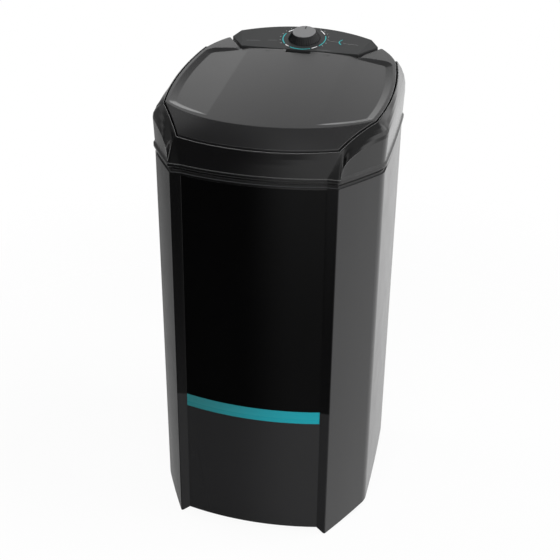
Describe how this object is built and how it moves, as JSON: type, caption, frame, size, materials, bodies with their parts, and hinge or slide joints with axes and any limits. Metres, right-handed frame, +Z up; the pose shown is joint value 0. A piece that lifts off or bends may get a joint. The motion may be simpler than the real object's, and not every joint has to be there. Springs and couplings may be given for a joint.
{
  "type": "semi-automatic washing machine",
  "caption": "Tall top-loading semi-automatic washing machine with a bowed front, hinged lid, sloping console with a timer knob, plastic tub and belt-driven pulsator.",
  "frame": {"origin": "floor level, centre of the footprint box", "axes": "+X to the right as seen from the front, +Y to the back, +Z up"},
  "size_m": [0.4726, 0.5, 0.9889],
  "materials": {
    "body": "satin",
    "front_gloss": "high gloss",
    "accent": "gloss, teal",
    "frame": "gloss",
    "lid": "satin gloss",
    "hinge": "matte",
    "console": "gloss",
    "panel": "satin",
    "knob": "satin",
    "knob_cap": "brushed",
    "pointer": "matte",
    "tub": "satin",
    "agitator": "satin",
    "filter": "satin",
    "steel": "bright",
    "casting": "as cast",
    "alloy": "cast",
    "brass": "plain",
    "rubber": "matte",
    "motor": "painted satin",
    "bracket": "zinc plated",
    "inner_plastic": "matte",
    "hose": "matte",
    "sleeve": "matte",
    "base": "matte"
  },
  "bodies": {
    "machine": {"cabinet_shell": "body", "front_panel": "front_gloss", "accent_strip": "accent", "top_frame": "frame", "lid_bumpers": "rubber", "hinge_rod": "steel", "hinge_knuckles": "hinge", "control_housing": "console", "control_panel": "panel", "timer_body": "inner_plastic", "wash_tub": "tub", "tub_gasket": "rubber", "drain_strainer": "steel", "bearing_housing": "casting", "shaft_seal": "rubber", "upper_bush": "brass", "lower_bush": "brass", "drive_belt": "rubber", "motor_body": "motor", "motor_bracket": "bracket", "motor_buffers": "rubber", "capacitor": "alloy", "capacitor_clip": "bracket", "drain_hose": "hose", "drain_spigot": "inner_plastic", "cord_gland": "inner_plastic", "wiring_harness": "sleeve", "base_plate": "base", "rubber_feet": "rubber", "frame_screws": "steel", "console_screws": "steel", "bracket_screws": "steel", "base_screws": "steel"},
    "lid_body": {"lid": "lid"},
    "dial": {"knob": "knob", "knob_cap": "knob_cap", "knob_pointer": "pointer", "timer_shaft": "steel"},
    "pulsator": {"agitator": "agitator", "drive_shaft": "steel", "drive_pulley": "alloy"},
    "rotor": {"motor_shaft": "steel", "motor_pulley": "alloy"},
    "filter": {"lint_filter": "filter"}
  },
  "joints": [
    {"name": "lid_hinge", "type": "hinge", "parent": "machine", "child": "lid_body", "pos_m": [0, 0.135, 0.9453], "axis": [-1, 0, 0], "range_deg": [0, 105]},
    {"name": "knob_turn", "type": "hinge", "parent": "machine", "child": "dial", "pos_m": [0, 0.195, 0.96701], "axis": [0, 0.254, -0.9672], "range_deg": [0, 300]},
    {"name": "pulsator_spin", "type": "hinge", "parent": "machine", "child": "pulsator", "pos_m": [0, -0.03255, 0.3], "axis": [0, 0, 1], "continuous": true},
    {"name": "motor_spin", "type": "hinge", "parent": "machine", "child": "rotor", "pos_m": [0.11, 0.07745, 0.159], "axis": [0, 0, 1], "continuous": true},
    {"name": "filter_lift", "type": "slide", "parent": "machine", "child": "filter", "axis": [0, 0, 1], "range_m": [0, 0.15]}
  ],
  "couplings": [
    {"joint": "motor_spin", "follows": "pulsator_spin", "ratio": 3.8169}
  ]
}
